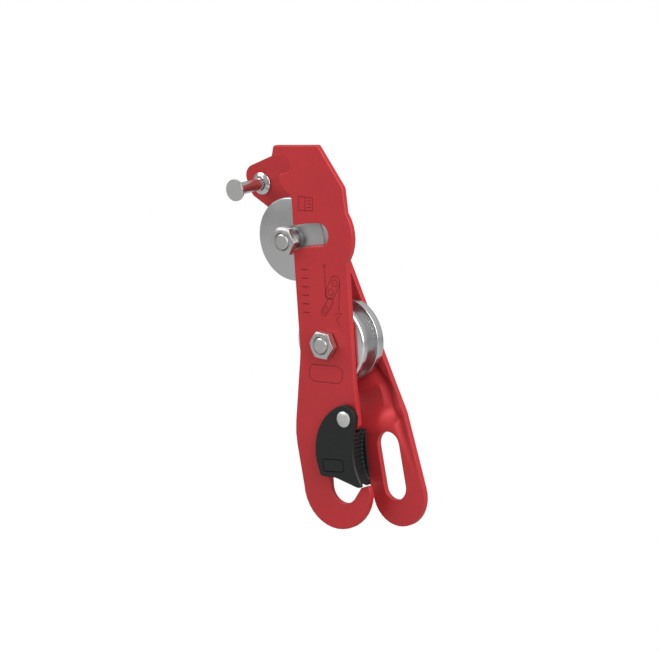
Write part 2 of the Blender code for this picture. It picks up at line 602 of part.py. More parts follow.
def gate(look, swing):
    """Black moulded gate: two cheeks and a web, open to the left for the plate, ribbed on the thumb side."""
    blank = slab(gate_outline(), Y_GATE_FRONT, Y_GATE_BACK)
    flatten_rear(blank)
    body = add_object("gate", blank, look, swing)
    plate_slot = slab(gate_plate_slot(), Y_GATE_SLOT_FRONT, Y_GATE_SLOT_BACK)
    shape_with(body, "gate_plate_slot", plate_slot, "DIFFERENCE")
    wide = 3 * GATE_BOSS_R
    head_z = SHOULDER_Z - 2.4 * MM
    head = [Vector((RIVET_X - 2 * wide, head_z)), Vector((RIVET_X + wide, head_z)),
            Vector((RIVET_X + wide, head_z + wide)), Vector((RIVET_X - 2 * wide, head_z + wide))]
    shape_with(body, "gate_head_relief", slab(head, Y_GATE_SLOT_FRONT, Y_GATE_BACK + MM), "DIFFERENCE")
    thumb_centre = Vector((GATE_WAIST_X - THUMB_DEPTH + THUMB_R, GATE_BACK_Z))
    recess_front, recess_back = Y_GATE_FRONT + FRONT_LIP, Y_GATE_BACK - REAR_LIP
    lip_r = THUMB_R - THUMB_DEPTH
    steps = 4
    lip = [(0.0, Y_GATE_FRONT - MM), (lip_r + LIP_ROUND, Y_GATE_FRONT - MM)]
    for i in range(steps + 1):
        angle = math.pi / 2 * i / steps
        lip.append((lip_r + LIP_ROUND * (1.0 - math.sin(angle)), Y_GATE_FRONT + LIP_ROUND * (1.0 - math.cos(angle))))
    thumb = [*lip, (lip_r, recess_front), (THUMB_R, recess_front), (THUMB_R, recess_back), (0.0, recess_back)]
    shape_with(body, "gate_thumb_recess", turned(thumb, thumb_centre, TURN_SIDES * 2), "DIFFERENCE")
    for i in range(THUMB_RIBS):
        angle = math.pi + RIB_PITCH / THUMB_R * (i - (THUMB_RIBS - 1) / 2)
        place = thumb_centre + THUMB_R * Vector((math.cos(angle), math.sin(angle)))
        rib = rod(place, RIB_R, recess_front - 0.4 * MM, recess_back + 0.4 * MM, sides=10)
        shape_with(body, "gate_rib_%d" % (i + 1), rib, "UNION")
    bore = rod(RIVET, PIVOT_SLEEVE_R + GAP, Y_GATE_FRONT - MM, Y_GATE_BACK + MM)
    shape_with(body, "gate_bore", bore, "DIFFERENCE")
    seat = rod(RIVET, RIVET_HEAD_R + GAP, Y_GATE_FRONT - MM, Y_GATE_FRONT + RIVET_SINK)
    shape_with(body, "gate_rivet_seat", seat, "DIFFERENCE")
    pocket_front = Y_GATE_SLOT_FRONT - SPRING_POCKET_T
    pocket = rod(RIVET, SPRING_POCKET_R, pocket_front, Y_GATE_SLOT_FRONT + MM)
    shape_with(body, "gate_spring_pocket", pocket, "DIFFERENCE")
    leg_x = RIVET_X - SPRING_R
    leg = capsule(Vector((leg_x, RIVET_Z)), Vector((leg_x, RIVET_Z - SPRING_LEG)), SPRING_WIRE_R + GAP)
    channel = slab(leg, pocket_front, Y_GATE_SLOT_FRONT + MM)
    return shape_with(body, "gate_spring_channel", channel, "DIFFERENCE")


def gate_spring(look, swing):
    """Torsion spring round the pivot sleeve: its short end enters the plate, its long leg lies in the gate."""
    start_y = Y_GATE_SLOT_FRONT - SPRING_WIRE_R - 0.1 * MM
    sweep = 2 * math.pi * SPRING_TURNS + math.pi - SPRING_TANG_ANGLE
    rise = SPRING_PITCH * sweep / (2 * math.pi)
    steps = 20 * SPRING_TURNS
    points = [(SPRING_TANG.x, Y_MOBILE_FRONT + 1.5 * MM, SPRING_TANG.y), (SPRING_TANG.x, start_y, SPRING_TANG.y)]
    for i in range(steps + 1):
        angle = SPRING_TANG_ANGLE + sweep * i / steps
        place = RIVET + SPRING_R * Vector((math.cos(angle), math.sin(angle)))
        points.append((place.x, start_y - rise * i / steps, place.y))
    last = points[-1]
    points.append((last[0], last[1], RIVET_Z - SPRING_LEG + SPRING_WIRE_R))
    curve = bpy.data.curves.new("gate_spring", "CURVE")
    curve.dimensions = "3D"
    curve.bevel_depth = SPRING_WIRE_R
    curve.bevel_resolution = 2
    curve.use_fill_caps = True
    spline = curve.splines.new("POLY")
    spline.points.add(len(points) - 1)
    for point, place in zip(spline.points, points):
        point.co = (*(Vector(place) - JOINT_PLACES[swing.name]), 1.0)
    curve.materials.append(look)
    obj = bpy.data.objects.new("gate_spring", curve)
    bpy.context.collection.objects.link(obj)
    obj.parent = swing
    return obj


def gate_rivet(look, swing):
    """Domed rivet through the gate's front cheek and the mobile plate."""
    seat = Y_GATE_FRONT + RIVET_SINK - GAP
    front = seat - RIVET_HEAD_T
    tail = Y_MOBILE_BACK + GAP + RIVET_WASHER_T + GAP
    profile = [(0.0, front - 0.25 * MM), (RIVET_HEAD_R * 0.55, front - 0.12 * MM),
               (RIVET_HEAD_R - 0.3 * MM, front + 0.15 * MM), (RIVET_HEAD_R, front + 0.5 * MM),
               (RIVET_HEAD_R, seat), (RIVET_R, seat), (RIVET_R, tail), (RIVET_TAIL_R, tail),
               (RIVET_TAIL_R - 0.6 * MM, tail + RIVET_TAIL_T * 0.7), (0.0, tail + RIVET_TAIL_T)]
    return add_object("gate_rivet", turned(profile, RIVET, TURN_SIDES - 16), look, swing)


def gate_pivot_sleeve(look, swing):
    """Sleeve that the gate turns on, so that the rivet can't pinch it."""
    sleeve = tube(RIVET, PIVOT_SLEEVE_R, PIVOT_SLEEVE_BORE, Y_GATE_FRONT + RIVET_SINK, Y_MOBILE_BACK, 0.1 * MM)
    return add_object("gate_pivot_sleeve", sleeve, look, swing)


def gate_rivet_washer(look, swing):
    front = Y_MOBILE_BACK + GAP
    washer = tube(RIVET, RIVET_WASHER_R, RIVET_R + GAP, front, front + RIVET_WASHER_T, 0.1 * MM)
    return add_object("gate_rivet_washer", washer, look, swing)


# ---------------------------------------------------------------- assembly

for old in list(bpy.data.objects):
    bpy.data.objects.remove(old, do_unlink=True)

JOINT_PLACES = {}
plate_swing = empty("plate_pivot_axis", Vector((0.0, 0.0, 0.0)))
gate_swing = empty("gate_pivot_axis", Vector((RIVET_X, 0.0, RIVET_Z)), plate_swing)
plate_swing.rotation_euler = (0.0, OPEN_ANGLE, 0.0)

red = (0.46, 0.045, 0.05)
fixed_side_plate(material("red_anodised_rear", red, 0.38, 0.55))
mobile_side_plate(material("red_anodised_front", red, 0.38, 0.55), plate_swing)
bobbin("upper_bobbin", UPPER, UPPER_DOWEL, RIM_CHAMFER, material("upper_bobbin_steel", (0.42, 0.42, 0.42), 0.3, 1.0))
bobbin("lower_bobbin", PIVOT, LOWER_DOWEL, LOWER_FRONT_CHAMFER,
       material("lower_bobbin_aluminium", (0.62, 0.62, 0.63), 0.22, 1.0))
dowel_pin("upper_bobbin_dowel", UPPER_DOWEL, material("upper_dowel_steel", (0.45, 0.45, 0.46), 0.3, 1.0))
dowel_pin("lower_bobbin_dowel", LOWER_DOWEL, material("lower_dowel_steel", (0.45, 0.45, 0.46), 0.3, 1.0))
hex_bolt("upper_bolt", UPPER, UPPER_NUT_TURN, material("upper_bolt_steel", (0.46, 0.46, 0.45), 0.35, 1.0))
hex_bolt("pivot_bolt", PIVOT, 0.0, material("pivot_bolt_steel", (0.46, 0.46, 0.45), 0.35, 1.0))
hex_nut("upper_nut", UPPER, UPPER_NUT_TURN, material("upper_nut_steel", (0.46, 0.46, 0.45), 0.35, 1.0))
hex_nut("pivot_nut", PIVOT, 0.0, material("pivot_nut_steel", (0.46, 0.46, 0.45), 0.35, 1.0))
spacer("notch_spacer", UPPER, material("notch_spacer_steel", (0.3, 0.3, 0.3), 0.35, 1.0))
spacer("pivot_bushing", PIVOT, material("pivot_bushing_steel", (0.3, 0.3, 0.3), 0.35, 1.0))
friction_spur(material("spur_steel", (0.55, 0.55, 0.54), 0.25, 1.0))
spur_collar(material("spur_collar_steel", (0.55, 0.55, 0.54), 0.25, 1.0))
spur_washer(material("spur_washer_steel", (0.5, 0.5, 0.5), 0.35, 1.0))
gate(material("gate_black_nylon", (0.02, 0.024, 0.022), 0.5, 0.0), gate_swing)
gate_spring(material("gate_spring_steel", (0.4, 0.4, 0.4), 0.3, 1.0), gate_swing)
gate_rivet(material("gate_rivet_steel", (0.55, 0.55, 0.54), 0.35, 1.0), plate_swing)
gate_pivot_sleeve(material("gate_sleeve_steel", (0.5, 0.5, 0.5), 0.35, 1.0), plate_swing)
gate_rivet_washer(material("rivet_washer_steel", (0.5, 0.5, 0.5), 0.35, 1.0), plate_swing)
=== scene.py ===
"""Looks of a single-rope bobbin descender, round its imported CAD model.

The row frame has its origin on the pivot bolt. +Z points to the upper bolt, +Y to the back, along the
bolts, and +X to the right as seen from the front. The sections follow the device as it is put together.
"""
import math

import bmesh
import bpy
from mathutils import Matrix, Vector


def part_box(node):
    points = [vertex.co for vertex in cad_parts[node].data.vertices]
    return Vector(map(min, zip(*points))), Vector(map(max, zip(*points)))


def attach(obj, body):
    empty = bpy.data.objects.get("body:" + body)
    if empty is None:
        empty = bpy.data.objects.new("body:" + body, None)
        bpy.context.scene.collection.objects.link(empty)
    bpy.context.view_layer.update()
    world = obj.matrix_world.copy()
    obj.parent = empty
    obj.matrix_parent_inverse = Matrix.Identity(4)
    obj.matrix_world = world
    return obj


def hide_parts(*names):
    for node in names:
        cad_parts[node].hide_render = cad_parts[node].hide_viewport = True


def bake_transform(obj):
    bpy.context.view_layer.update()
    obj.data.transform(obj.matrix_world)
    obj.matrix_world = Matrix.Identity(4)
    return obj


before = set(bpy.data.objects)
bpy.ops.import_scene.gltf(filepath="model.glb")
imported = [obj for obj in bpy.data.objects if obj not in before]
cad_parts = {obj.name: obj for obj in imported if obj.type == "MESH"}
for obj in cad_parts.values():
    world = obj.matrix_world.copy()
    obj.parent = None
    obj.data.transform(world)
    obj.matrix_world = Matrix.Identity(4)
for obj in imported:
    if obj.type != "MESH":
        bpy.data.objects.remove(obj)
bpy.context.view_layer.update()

# ---------------------------------------------------------------- studio
# White room with a tall soft lamp to the right of the device and a square one above its front. The
# device leans in it, so the floor, which is level in the room, is tilted in the row frame.

MM = 0.001
LEAN_UP = Vector((0.4446, 0.0, 0.8958))
CAMERA_BACK = Vector((0.6469, -0.7594, -0.0700)).normalized()
CAMERA_UP = Vector((0.3069, 0.1753, 0.9355)).normalized()
CAMERA_RIGHT = CAMERA_UP.cross(CAMERA_BACK).normalized()
LENS = 600.0
SENSOR_WIDTH = 36.0
FRAME_WIDTH = 0.3267
AIM_DEPTH = -0.0284
AIM_RIGHT = 0.00193
AIM_UP = 0.00703


def placed(name, data):
    """New object with that data, in the scene."""
    thing = bpy.data.objects.new(name, data)
    bpy.context.scene.collection.objects.link(thing)
    return thing


camera_data = bpy.data.cameras.new("studio_camera")
camera_data.lens = LENS
camera_data.sensor_width = SENSOR_WIDTH
camera_data.clip_start = 0.01
camera = placed("studio_camera", camera_data)
aim = Vector((0.0, AIM_DEPTH, 0.0)) + AIM_RIGHT * CAMERA_RIGHT + AIM_UP * CAMERA_UP
turn = Matrix((CAMERA_RIGHT, CAMERA_BACK.cross(CAMERA_RIGHT), CAMERA_BACK)).transposed()
camera_distance = LENS * FRAME_WIDTH / SENSOR_WIDTH
camera.matrix_world = Matrix.Translation(aim + CAMERA_BACK * camera_distance) @ turn.to_4x4()
bpy.context.scene.camera = camera


def softbox(name, direction, distance, width, height, watts):
    """Rectangular lamp that faces the device."""
    data = bpy.data.lights.new(name, "AREA")
    data.shape = "RECTANGLE"
    data.size = width
    data.size_y = height
    data.energy = watts
    lamp = placed(name, data)
    direction = Vector(direction).normalized()
    lamp.location = aim + direction * distance
    lamp.rotation_mode = "QUATERNION"
    lamp.rotation_quaternion = direction.to_track_quat("Z", "Y")


softbox("right_lamp", (0.93, -0.30, 0.18), distance=0.7, width=0.35, height=0.8, watts=6.0)
softbox("front_lamp", (-0.30, -0.60, 0.80), distance=0.9, width=0.6, height=0.6, watts=4.2)

# The air is what the metal reflects: grey all round, and bright on its bright side. The camera itself
# sees plain white in place of it, and of the floor too.
BRIGHT_SIDE = Vector((0.75, 0.35, 0.55)).normalized()
AIR_FAR = 0.28
AIR_MIDDLE = 0.30
AIR_BRIGHT = 0.60
WHITE = 1.0


def grey(level):
    """Opaque grey of that level."""
    return (level, level, level, 1.0)


world = bpy.data.worlds.new("studio_air")
bpy.context.scene.world = world
world.use_nodes = True
air = world.node_tree
air.nodes.clear()
direction = air.nodes.new("ShaderNodeTexCoord")
along = air.nodes.new("ShaderNodeVectorMath")
along.operation = "DOT_PRODUCT"
along.inputs[1].default_value = BRIGHT_SIDE
air.links.new(direction.outputs["Generated"], along.inputs[0])
shade = air.nodes.new("ShaderNodeValToRGB")
shade.color_ramp.elements[0].position = 0.0
shade.color_ramp.elements[0].color = grey(AIR_FAR)
shade.color_ramp.elements[1].position = 1.0
shade.color_ramp.elements[1].color = grey(AIR_BRIGHT)
middle = shade.color_ramp.elements.new(0.5)
middle.color = grey(AIR_MIDDLE)
spread = air.nodes.new("ShaderNodeMapRange")
spread.inputs["From Min"].default_value = -1.0
air.links.new(along.outputs["Value"], spread.inputs["Value"])
air.links.new(spread.outputs["Result"], shade.inputs["Fac"])
dim_air = air.nodes.new("ShaderNodeBackground")
air.links.new(shade.outputs["Color"], dim_air.inputs["Color"])
white_air = air.nodes.new("ShaderNodeBackground")
white_air.inputs["Color"].default_value = grey(WHITE)
ray = air.nodes.new("ShaderNodeLightPath")
seen = air.nodes.new("ShaderNodeMixShader")
air.links.new(ray.outputs["Is Camera Ray"], seen.inputs["Fac"])
air.links.new(dim_air.outputs["Background"], seen.inputs[1])
air.links.new(white_air.outputs["Background"], seen.inputs[2])
air_out = air.nodes.new("ShaderNodeOutputWorld")
air.links.new(seen.outputs["Shader"], air_out.inputs["Surface"])
bpy.context.scene.view_settings.view_transform = "Standard"

FLOOR_RADIUS = 2.0
FLOOR_GAP = 2 * MM
FLOOR_PAINT = 0.45

lowest = min(vert.co.dot(LEAN_UP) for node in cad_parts.values() for vert in node.data.vertices)
floor_mesh = bpy.data.meshes.new("floor")
bm = bmesh.new()
bmesh.ops.create_circle(bm, cap_ends=True, segments=64, radius=FLOOR_RADIUS)
bm.to_mesh(floor_mesh)
bm.free()
floor = placed("floor", floor_mesh)
floor.location = LEAN_UP * (lowest - FLOOR_GAP)
floor.rotation_mode = "QUATERNION"
floor.rotation_quaternion = LEAN_UP.to_track_quat("Z", "Y")
floor_look = bpy.data.materials.new("pale_floor")
floor_look.use_nodes = True
tree = floor_look.node_tree
paint = tree.nodes["Principled BSDF"]
paint.inputs["Base Color"].default_value = grey(FLOOR_PAINT)
paint.inputs["Roughness"].default_value = 0.9
glow = tree.nodes.new("ShaderNodeEmission")
glow.inputs["Color"].default_value = grey(WHITE)
floor_ray = tree.nodes.new("ShaderNodeLightPath")
floor_seen = tree.nodes.new("ShaderNodeMixShader")
tree.links.new(floor_ray.outputs["Is Camera Ray"], floor_seen.inputs["Fac"])
tree.links.new(paint.outputs["BSDF"], floor_seen.inputs[1])
tree.links.new(glow.outputs["Emission"], floor_seen.inputs[2])
underside = tree.nodes.new("ShaderNodeNewGeometry")
clear = tree.nodes.new("ShaderNodeBsdfTransparent")
floor_side = tree.nodes.new("ShaderNodeMixShader")
tree.links.new(underside.outputs["Backfacing"], floor_side.inputs["Fac"])
tree.links.new(floor_seen.outputs["Shader"], floor_side.inputs[1])
tree.links.new(clear.outputs["BSDF"], floor_side.inputs[2])
tree.links.new(floor_side.outputs["Shader"], tree.nodes["Material Output"].inputs["Surface"])
floor_mesh.materials.append(floor_look)

# ---------------------------------------------------------------- fixed side plate
# Rear plate of 3 mm aluminium, laser cut, with its tail bent forward and a stiffening groove pressed
# over the bend. It is tumbled, so its edges are round, and then bead blasted and anodised satin red.

PLATE_EDGE = 0.75 * MM
DYE_RED = (0.50, 0.028, 0.034, 1.0)
CLOUDS_PER_METRE = 38.0
GRAINS_PER_METRE = 5200.0
GRAIN_ROUGHNESS = 0.10
BLAST_DEPTH = 0.02 * MM
WELD_GAP = 0.002 * MM
FLAT_ANGLE = math.radians(0.5)
SHARP_ANGLE = math.radians(32)
ROUNDED_ANGLE = math.radians(50)


def group_sockets(group, ins, outs):
    """Gives a node group its sockets, and returns its input and output nodes."""
    for name, kind, value in ins:
        socket = group.interface.new_socket(name=name, in_out="INPUT", socket_type=kind)
        socket.default_value = value
    for name, kind in outs:
        group.interface.new_socket(name=name, in_out="OUTPUT", socket_type=kind)
    return group.nodes.new("NodeGroupInput"), group.nodes.new("NodeGroupOutput")


def noise(group, place, scale, detail):
    """Noise over the object, scale times a metre."""
    node = group.nodes.new("ShaderNodeTexNoise")
    node.inputs["Scale"].default_value = scale
    node.inputs["Detail"].default_value = detail
    group.links.new(place.outputs["Object"], node.inputs["Vector"])
    return node


def tone_of(group, source, darkest, lightest):
    """Tone that follows a noise: most of its values lie between 0.3 and 0.7."""
    node = group.nodes.new("ShaderNodeMapRange")
    node.inputs["From Min"].default_value = 0.3
    node.inputs["From Max"].default_value = 0.7
    node.inputs["To Min"].default_value = darkest
    node.inputs["To Max"].default_value = lightest
    group.links.new(source.outputs["Fac"], node.inputs["Value"])
    return node


def blasted_dye_group():
    """Colour, roughness and height of a bead blasted and dyed surface: cloudy dye, and fine grain."""
    group = bpy.data.node_groups.new("blasted_dye", "ShaderNodeTree")
    given, result = group_sockets(
        group,
        [("Dye", "NodeSocketColor", (0.5, 0.5, 0.5, 1.0)), ("Cloud Share", "NodeSocketFloat", 0.1),
         ("Base Roughness", "NodeSocketFloat", 0.4)],
        [("Color", "NodeSocketColor"), ("Roughness", "NodeSocketFloat"), ("Height", "NodeSocketFloat")])
    place = group.nodes.new("ShaderNodeTexCoord")
    cloud = noise(group, place, CLOUDS_PER_METRE, 4.0)
    grain = noise(group, place, GRAINS_PER_METRE, 2.0)
    level = tone_of(group, cloud, darkest=0.82, lightest=1.18)
    toned = group.nodes.new("ShaderNodeMix")
    toned.data_type = "RGBA"
    toned.blend_type = "MULTIPLY"
    group.links.new(given.outputs["Cloud Share"], toned.inputs["Factor"])
    group.links.new(given.outputs["Dye"], toned.inputs["A"])
    group.links.new(level.outputs["Result"], toned.inputs["B"])
    group.links.new(toned.outputs["Result"], result.inputs["Color"])
    rough = group.nodes.new("ShaderNodeMath")
    rough.operation = "MULTIPLY_ADD"
    rough.inputs[1].default_value = GRAIN_ROUGHNESS
    group.links.new(grain.outputs["Fac"], rough.inputs[0])
    group.links.new(given.outputs["Base Roughness"], rough.inputs[2])
    group.links.new(rough.outputs["Value"], result.inputs["Roughness"])
    group.links.new(grain.outputs["Fac"], result.inputs["Height"])
    return group


blasted_dye = blasted_dye_group()


def skinned_material(name, skin_group):
    """Material, its shader, and the group of its skin, which sets how rough it is."""
    look = bpy.data.materials.new(name)
    look.use_nodes = True
    tree = look.node_tree
    shader = tree.nodes["Principled BSDF"]
    skin = tree.nodes.new("ShaderNodeGroup")
    skin.node_tree = skin_group
    tree.links.new(skin.outputs["Roughness"], shader.inputs["Roughness"])
    return look, shader, skin


def relief(look, shader, skin, strength, depth):
    """Bump of a skin's height on its shader, so many metres deep."""
    tree = look.node_tree
    bump = tree.nodes.new("ShaderNodeBump")
    bump.inputs["Strength"].default_value = strength
    bump.inputs["Distance"].default_value = depth
    tree.links.new(skin.outputs["Height"], bump.inputs["Height"])
    tree.links.new(bump.outputs["Normal"], shader.inputs["Normal"])


def dyed(name, dye, cloud_share, roughness, strength, depth):
    """Material with a blasted and dyed skin, and its shader."""
    look, shader, skin = skinned_material(name, blasted_dye)
    skin.inputs["Dye"].default_value = dye
    skin.inputs["Cloud Share"].default_value = cloud_share
    skin.inputs["Base Roughness"].default_value = roughness
    look.node_tree.links.new(skin.outputs["Color"], shader.inputs["Base Color"])
    relief(look, shader, skin, strength, depth)
    return look, shader


def anodised(name, dye):
    """Satin anodised aluminium."""
    look, shader = dyed(name, dye, cloud_share=0.25, roughness=0.36, strength=0.35, depth=BLAST_DEPTH)
    shader.inputs["Metallic"].default_value = 0.35
    shader.inputs["Specular IOR Level"].default_value = 0.5
    return look


def finished(name, bm, look, body, node, edge=0.0):
    """Turns a bmesh into the piece shown in place of a CAD node; edge is its edges' rounding."""
    mesh = bpy.data.meshes.new(name)
    bm.to_mesh(mesh)
    bm.free()
    mesh.shade_smooth()
    mesh.set_sharp_from_angle(angle=SHARP_ANGLE)
    mesh.materials.append(look)
    piece = placed(name, mesh)
    if edge > 0.0:
        rounding = piece.modifiers.new("edge_rounding", "BEVEL")
        rounding.width = edge
        rounding.segments = 3
        rounding.limit_method = "ANGLE"
        rounding.angle_limit = ROUNDED_ANGLE
        rounding.harden_normals = True
    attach(piece, body)
    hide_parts(node)
    return piece


def welded(node):
    """Clean copy of a CAD node's mesh, with its flat faces whole again."""
    bm = bmesh.new()
    bm.from_mesh(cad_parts[node].data)
    bmesh.ops.remove_doubles(bm, verts=bm.verts, dist=WELD_GAP)
    bmesh.ops.dissolve_limit(bm, angle_limit=FLAT_ANGLE, verts=bm.verts, edges=bm.edges)
    return bm


red_rear = anodised("red_anodised_rear", DYE_RED)
finished("fixed_plate", welded("fixed_side_plate"), red_rear, "frame",
         "fixed_side_plate", PLATE_EDGE)

# ---------------------------------------------------------------- bobbins
# Turned on a lathe. The upper one is stainless steel with fine turning rings on its faces, and the
# lower one is aluminium, polished bright. Neither turns: the rope rubs through their round grooves.

UPPER_STEEL = (0.60, 0.60, 0.60)
LOWER_ALUMINIUM = (0.74, 0.74, 0.75)
BOBBIN_R = 21.0 * MM
BOBBIN_BORE_R = 4.3 * MM
GROOVE_DEPTH = 7.0 * MM
REAR_RIM = 4.5 * MM
FRONT_RIM = 3.5 * MM
RIM_LIP = 0.35 * MM
BORE_CHAMFER = 0.3 * MM
UPPER_CHAMFER = 0.5 * MM
LOWER_CHAMFER = 0.9 * MM
EASED_RUN = 0.15 * MM
EASED_RISE = 0.05 * MM
GROOVE_STEPS = 28
LATHE_GAP = 0.001 * MM
RINGS_ALONG_AXIS = 900.0
SMEARS_PER_METRE = 160.0


def lathe(profile, centre, sides=128):
    """Spins a closed (radius, y) profile about the axis through centre (x, z)."""
    bm = bmesh.new()
    verts = [bm.verts.new((radius, y, 0.0)) for radius, y in profile]
    edges = [bm.edges.new((verts[i], verts[i - 1])) for i in range(len(verts))]
    bmesh.ops.spin(bm, geom=verts + edges, cent=(0.0, 0.0, 0.0), axis=(0.0, 1.0, 0.0),
                   angle=2 * math.pi, steps=sides, use_merge=True)
    bmesh.ops.remove_doubles(bm, verts=bm.verts, dist=LATHE_GAP)
    bmesh.ops.dissolve_degenerate(bm, edges=bm.edges, dist=LATHE_GAP)
    bmesh.ops.recalc_face_normals(bm, faces=bm.faces)
    bmesh.ops.translate(bm, verts=bm.verts, vec=(centre[0], 0.0, centre[1]))
    return bm


def corner(r, y, radius, start, steps=4):
    """Quarter round of a profile about (r, y), from angle start in degrees, a quarter turn onwards."""
    points = []
    for i in range(steps + 1):
        angle = math.radians(start + 90.0 * i / steps)
        points.append((r + radius * math.cos(angle), y + radius * math.sin(angle)))
    return points


def bobbin_profile(front, back, front_chamfer):
    """Radius and y round the bobbin: front face, front rim, groove, rear rim, back face, bore."""
    groove_front = front + FRONT_RIM
    groove_back = back - REAR_RIM
    middle = (groove_front + groove_back) / 2
    half = (groove_back - groove_front) / 2
    lip_r = BOBBIN_R - RIM_LIP
    profile = [(BOBBIN_BORE_R, front + BORE_CHAMFER), (BOBBIN_BORE_R + BORE_CHAMFER, front),
               (BOBBIN_R - front_chamfer - EASED_RUN, front),
               (BOBBIN_R - front_chamfer, front + EASED_RISE),
               (BOBBIN_R - EASED_RISE, front + front_chamfer),
               (BOBBIN_R, front + front_chamfer + EASED_RUN)]
    profile += corner(lip_r, groove_front - RIM_LIP, RIM_LIP, 0.0)
    for i in range(1, GROOVE_STEPS):
        angle = math.pi * i / GROOVE_STEPS
        profile.append((lip_r - GROOVE_DEPTH * math.sin(angle), middle - half * math.cos(angle)))
    profile += corner(lip_r, groove_back + RIM_LIP, RIM_LIP, -90.0)
    profile += corner(lip_r, back - RIM_LIP, RIM_LIP, 0.0)
    profile += [(BOBBIN_BORE_R + BORE_CHAMFER, back), (BOBBIN_BORE_R, back - BORE_CHAMFER)]
    return profile


def turned_rings_group():
    """Height, roughness and tone of fine turning rings round an axis along Y through Centre."""
    group = bpy.data.node_groups.new("turned_rings", "ShaderNodeTree")
    given, result = group_sockets(
        group,
        [("Centre", "NodeSocketVector", (0.0, 0.0, 0.0)), ("Rings per Metre", "NodeSocketFloat", 3000.0),
         ("Base Roughness", "NodeSocketFloat", 0.25), ("Roughness Spread", "NodeSocketFloat", 0.1)],
        [("Height", "NodeSocketFloat"), ("Roughness", "NodeSocketFloat"), ("Tone", "NodeSocketFloat")])
    place = group.nodes.new("ShaderNodeTexCoord")
    offset = group.nodes.new("ShaderNodeVectorMath")
    offset.operation = "SUBTRACT"
    group.links.new(place.outputs["Object"], offset.inputs[0])
    group.links.new(given.outputs["Centre"], offset.inputs[1])
    flat = group.nodes.new("ShaderNodeVectorMath")
    flat.operation = "MULTIPLY"
    flat.inputs[1].default_value = (1.0, 0.0, 1.0)
    group.links.new(offset.outputs["Vector"], flat.inputs[0])
    radius = group.nodes.new("ShaderNodeVectorMath")
    radius.operation = "LENGTH"
    group.links.new(flat.outputs["Vector"], radius.inputs[0])
    fine = group.nodes.new("ShaderNodeMath")
    fine.operation = "MULTIPLY"
    group.links.new(radius.outputs["Value"], fine.inputs[0])
    group.links.new(given.outputs["Rings per Metre"], fine.inputs[1])
    depth = group.nodes.new("ShaderNodeSeparateXYZ")
    group.links.new(offset.outputs["Vector"], depth.inputs["Vector"])
    deep = group.nodes.new("ShaderNodeMath")
    deep.operation = "MULTIPLY_ADD"
    deep.inputs[1].default_value = RINGS_ALONG_AXIS
    group.links.new(depth.outputs["Y"], deep.inputs[0])
    group.links.new(fine.outputs["Value"], deep.inputs[2])
    rings = group.nodes.new("ShaderNodeTexNoise")
    rings.noise_dimensions = "1D"
    rings.inputs["Scale"].default_value = 1.0
    rings.inputs["Detail"].default_value = 3.0
    group.links.new(deep.outputs["Value"], rings.inputs["W"])
    group.links.new(rings.outputs["Fac"], result.inputs["Height"])
    smear = noise(group, place, SMEARS_PER_METRE, 3.0)
    rough = group.nodes.new("ShaderNodeMath")
    rough.operation = "MULTIPLY_ADD"
    group.links.new(smear.outputs["Fac"], rough.inputs[0])
    group.links.new(given.outputs["Roughness Spread"], rough.inputs[1])
    group.links.new(given.outputs["Base Roughness"], rough.inputs[2])
    group.links.new(rough.outputs["Value"], result.inputs["Roughness"])
    tone = tone_of(group, rings, darkest=0.88, lightest=1.0)
    group.links.new(tone.outputs["Result"], result.inputs["Tone"])
    return group


turned_rings = turned_rings_group()


def turned_metal(name, colour, centre, rings, depth, roughness, spread):
    """Bare metal, so many rings a metre; centre is (x, z) of the lathe axis, depth the rings' depth."""
    look, shader, skin = skinned_material(name, turned_rings)
    tree = look.node_tree
    shader.inputs["Metallic"].default_value = 1.0
    skin.inputs["Centre"].default_value = (centre[0], 0.0, centre[1])
    skin.inputs["Rings per Metre"].default_value = rings
    skin.inputs["Base Roughness"].default_value = roughness
    skin.inputs["Roughness Spread"].default_value = spread
    tint = tree.nodes.new("ShaderNodeMix")
    tint.data_type = "RGBA"
    tint.blend_type = "MULTIPLY"
    tint.inputs["Factor"].default_value = 1.0
    tint.inputs["A"].default_value = (*colour, 1.0)
    tree.links.new(skin.outputs["Tone"], tint.inputs["B"])
    tree.links.new(tint.outputs["Result"], shader.inputs["Base Color"])
    relief(look, shader, skin, 0.5, depth)
    return look


def axis_of(node):
    """(x, z) of the middle of a round CAD node."""
    low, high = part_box(node)
    return ((low.x + high.x) / 2, (low.z + high.z) / 2)


upper = axis_of("upper_bobbin")
pivot = axis_of("lower_bobbin")
bobbin_low, bobbin_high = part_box("upper_bobbin")
upper_steel = turned_metal("upper_bobbin_steel", UPPER_STEEL, upper, rings=2600.0,
                           depth=0.018 * MM, roughness=0.24, spread=0.14)
finished("upper_bobbin_turned", lathe(bobbin_profile(bobbin_low.y, bobbin_high.y, UPPER_CHAMFER), upper),
         upper_steel, "frame", "upper_bobbin")
lower_polish = turned_metal("lower_bobbin_polish", LOWER_ALUMINIUM, pivot, rings=1500.0,
                            depth=0.004 * MM, roughness=0.20, spread=0.05)
finished("lower_bobbin_polished", lathe(bobbin_profile(bobbin_low.y, bobbin_high.y, LOWER_CHAMFER), pivot),
         lower_polish, "frame", "lower_bobbin")

# ---------------------------------------------------------------- bolts, nuts and sleeves
# M8 steel bolts from the back, with nuts in front, zinc plated to a satin grey. Each nut presses on a
# sleeve, 0.3 mm longer than the mobile plate is thick, so the plate can swing under the nut.

